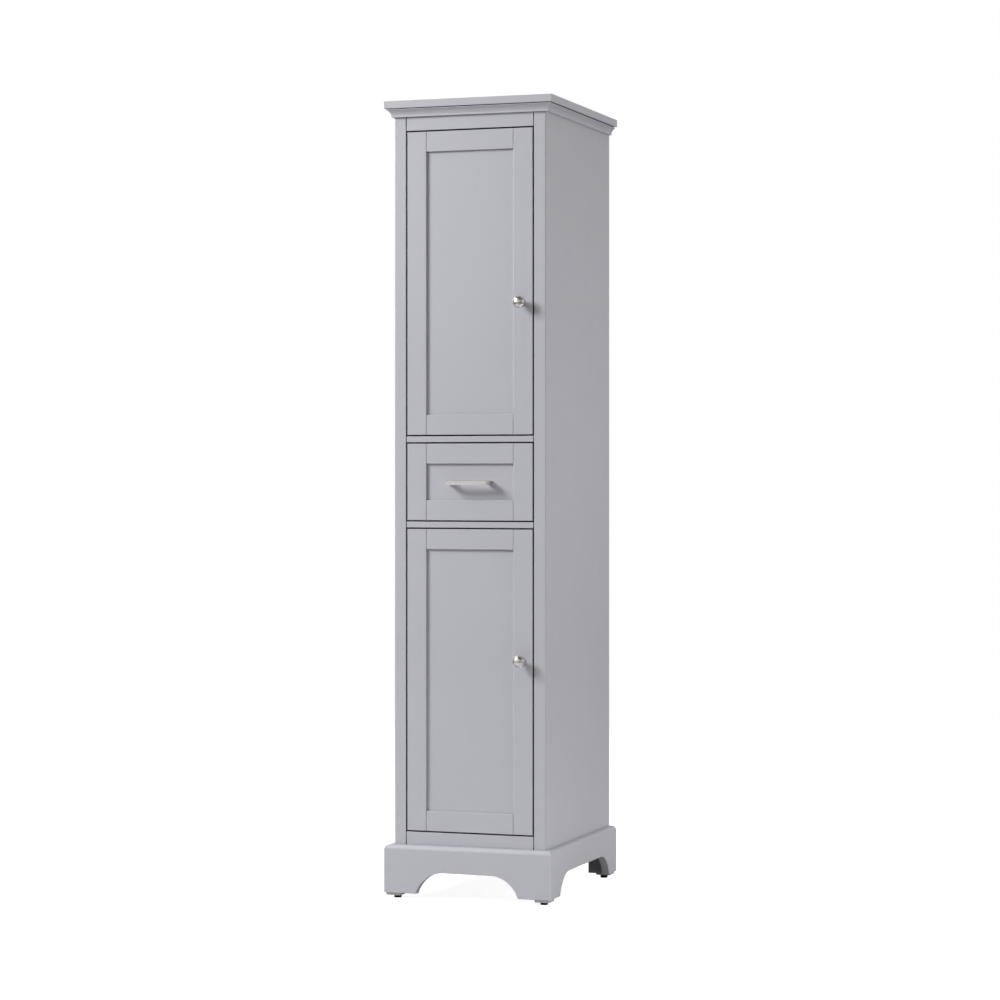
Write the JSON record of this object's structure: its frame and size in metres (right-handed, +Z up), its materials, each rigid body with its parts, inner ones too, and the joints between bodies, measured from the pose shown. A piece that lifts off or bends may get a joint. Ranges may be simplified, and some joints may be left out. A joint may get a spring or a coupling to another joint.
{
  "type": "pantry cabinet",
  "caption": "Tall narrow free-standing cabinet with inset shaker doors above and below a drawer, crown moulding, arched plinth and levelling glides.",
  "frame": {"origin": "middle of the overall footprint, on the floor", "axes": "+Z up, -Y towards the front with the doors, +X towards the knob side"},
  "size_m": [0.406, 0.5184, 1.829],
  "materials": {
    "grey_paint": "satin light-grey lacquer",
    "grey_laminate": "thin board with a grey laminate face",
    "raw_wood": "bare softwood",
    "grey_primer": "dark-grey primed softwood",
    "drawer_wood": "clear-lacquered birch",
    "satin_nickel": "satin nickel",
    "zinc_steel": "bright zinc plate",
    "black_plastic": "moulded black nylon"
  },
  "bodies": {
    "cabinet": {"crown_slab": "grey_paint", "crown_front": "grey_paint", "crown_left": "grey_paint", "crown_right": "grey_paint", "frame_stile_left": "grey_paint", "frame_stile_right": "grey_paint", "frame_rail_top": "grey_paint", "frame_rails_middle": "grey_paint", "frame_rail_bottom": "grey_paint", "side_panel_left": "grey_paint", "side_panel_right": "grey_paint", "back_panel": "grey_laminate", "top_panel": "grey_paint", "divider_upper": "grey_paint", "divider_lower": "grey_paint", "bottom_panel": "grey_paint", "wall_rail": "grey_paint", "shelves": "grey_paint", "shelf_pins": "zinc_steel", "mounting_blocks": "raw_wood", "hinge_plates": "zinc_steel", "hinge_arms": "zinc_steel", "door_stops": "grey_primer", "carcass_screws": "zinc_steel", "plinth_front": "grey_paint", "plinth_left": "grey_paint", "plinth_right": "grey_paint", "plinth_back": "grey_primer", "corner_blocks": "grey_primer", "foot_pads": "grey_paint", "thread_inserts": "zinc_steel", "runner_outer_rails": "zinc_steel"},
    "upper_door": {"upper_door_stile_left": "grey_paint", "upper_door_stile_right": "grey_paint", "upper_door_rails": "grey_paint", "upper_door_panel": "grey_paint", "upper_door_knob": "satin_nickel", "upper_door_hinge_cups": "zinc_steel", "upper_door_fasteners": "zinc_steel"},
    "lower_door": {"lower_door_stile_left": "grey_paint", "lower_door_stile_right": "grey_paint", "lower_door_rails": "grey_paint", "lower_door_panel": "grey_paint", "lower_door_knob": "satin_nickel", "lower_door_hinge_cups": "zinc_steel", "lower_door_fasteners": "zinc_steel"},
    "drawer": {"drawer_front_stiles": "grey_paint", "drawer_front_rails": "grey_paint", "drawer_front_panel": "grey_paint", "drawer_handle": "satin_nickel", "drawer_screws": "zinc_steel", "drawer_box_sides": "drawer_wood", "drawer_box_ends": "drawer_wood", "drawer_box_bottom": "drawer_wood", "runner_inner_rails": "zinc_steel"},
    "runner_middles": {"runner_middles": "zinc_steel"},
    "glide_front_left": {"glide_front_left": "black_plastic"},
    "glide_front_right": {"glide_front_right": "black_plastic"},
    "glide_back_left": {"glide_back_left": "black_plastic"},
    "glide_back_right": {"glide_back_right": "black_plastic"}
  },
  "joints": [
    {"name": "upper_door_hinge", "type": "hinge", "parent": "cabinet", "child": "upper_door", "pos_m": [-0.136, -0.22135, 1.41], "axis": [0, 0, -1], "range_deg": [0, 105]},
    {"name": "lower_door_hinge", "type": "hinge", "parent": "cabinet", "child": "lower_door", "pos_m": [-0.136, -0.22135, 0.5015], "axis": [0, 0, -1], "range_deg": [0, 105]},
    {"name": "drawer_slide", "type": "slide", "parent": "cabinet", "child": "drawer", "axis": [0, -1, 0], "range_m": [0, 0.35]},
    {"name": "runner_slide", "type": "slide", "parent": "cabinet", "child": "runner_middles", "axis": [0, -1, 0], "range_m": [0, 0.175]},
    {"name": "glide_front_left_screw", "type": "slide", "parent": "cabinet", "child": "glide_front_left", "axis": [0, 0, -1], "range_m": [0, 0.01]},
    {"name": "glide_front_right_screw", "type": "slide", "parent": "cabinet", "child": "glide_front_right", "axis": [0, 0, -1], "range_m": [0, 0.01]},
    {"name": "glide_back_left_screw", "type": "slide", "parent": "cabinet", "child": "glide_back_left", "axis": [0, 0, -1], "range_m": [0, 0.01]},
    {"name": "glide_back_right_screw", "type": "slide", "parent": "cabinet", "child": "glide_back_right", "axis": [0, 0, -1], "range_m": [0, 0.01]}
  ],
  "couplings": [
    {"joint": "runner_slide", "follows": "drawer_slide", "ratio": 0.5}
  ]
}
